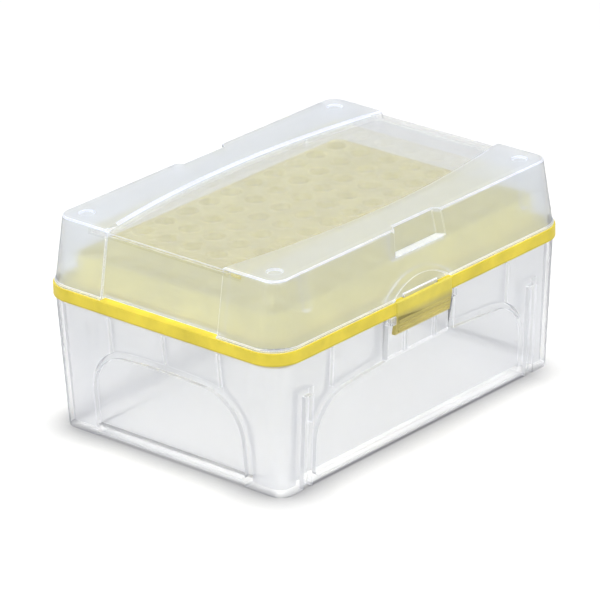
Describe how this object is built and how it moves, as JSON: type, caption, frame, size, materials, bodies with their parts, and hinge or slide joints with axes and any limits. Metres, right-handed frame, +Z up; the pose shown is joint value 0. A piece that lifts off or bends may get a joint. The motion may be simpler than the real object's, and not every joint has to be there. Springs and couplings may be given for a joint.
{
  "type": "pipette tip box",
  "caption": "Frosted tub with arched wall panels, a coloured rack with a raised deck of round tip holes, and a hinged frosted lid held by a rocking latch",
  "frame": {"origin": "middle of the box's footprint, on the surface that its feet stand on", "axes": "+X along the long side, +Y from the latch to the hinge, +Z up"},
  "size_m": [0.122, 0.0867, 0.0614],
  "materials": {
    "frosted_base": "frosted translucent polypropylene",
    "frosted_lid": "frosted translucent polypropylene",
    "rack_plastic": "satin moulded",
    "latch_plastic": "satin moulded"
  },
  "bodies": {
    "box": {"base": "frosted_base", "tip_rack": "rack_plastic"},
    "cover": {"lid": "frosted_lid"},
    "clip": {"latch": "latch_plastic"}
  },
  "joints": [
    {"name": "lid_hinge", "type": "hinge", "parent": "box", "child": "cover", "pos_m": [0, 0.0426, 0.04075], "axis": [-1, 0, 0], "range_deg": [0, 110]},
    {"name": "latch_pivot", "type": "hinge", "parent": "box", "child": "clip", "pos_m": [-0.0016, -0.04115, 0.0373], "axis": [1, 0, 0], "range_deg": [0, 8]}
  ]
}
